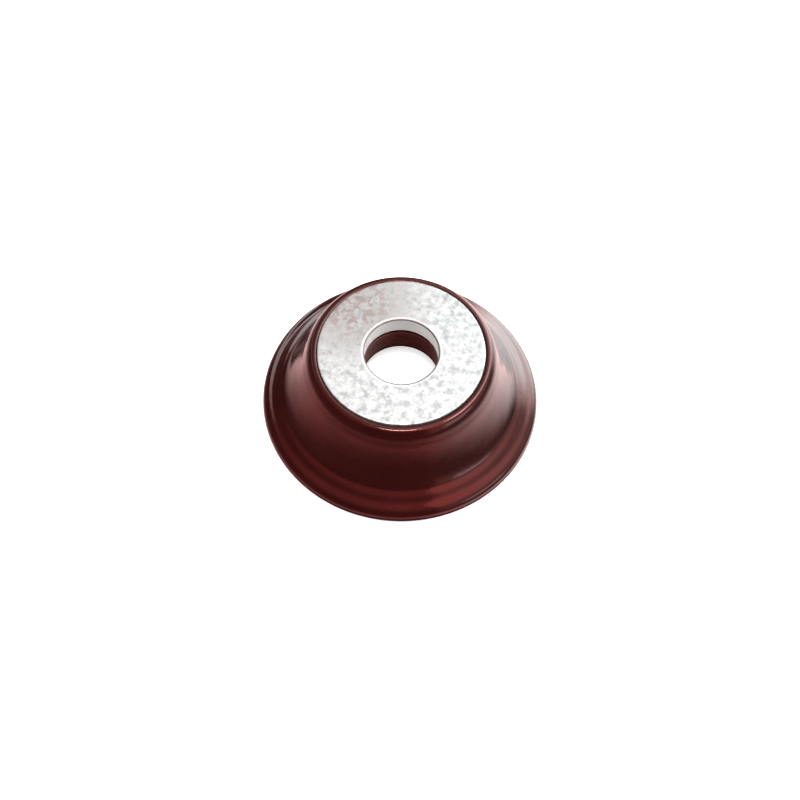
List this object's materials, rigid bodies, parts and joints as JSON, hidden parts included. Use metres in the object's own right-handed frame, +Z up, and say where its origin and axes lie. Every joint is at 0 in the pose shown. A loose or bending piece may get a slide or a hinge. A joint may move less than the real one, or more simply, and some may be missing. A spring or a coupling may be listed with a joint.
{
  "type": "porcelain bushing insulator",
  "caption": "Hollow bell-shaped glazed porcelain insulator for a through stud, with a loose steel bearing ring on a gasket in its crown.",
  "frame": {"origin": "centre of the foot circle, on the surface the bell stands on", "axes": "+Z up along the stud axis, from the foot towards the bearing ring"},
  "size_m": [0.084, 0.084, 0.031],
  "materials": {
    "brown_glaze": "glossy dark red-brown glaze, bare cream biscuit on the foot ring",
    "black_rubber": "matt",
    "galvanised_steel": "hot-dip galvanised, fine spangle"
  },
  "bodies": {
    "bell": {"porcelain_bell": "brown_glaze"},
    "gasket": {"bedding_gasket": "black_rubber"},
    "ring": {"bearing_ring": "galvanised_steel"}
  },
  "joints": [
    {"name": "gasket_lift", "type": "slide", "parent": "bell", "child": "gasket", "axis": [0, 0, 1], "range_m": [0, 0.015]},
    {"name": "ring_lift", "type": "slide", "parent": "gasket", "child": "ring", "axis": [0, 0, 1], "range_m": [0, 0.02]}
  ]
}
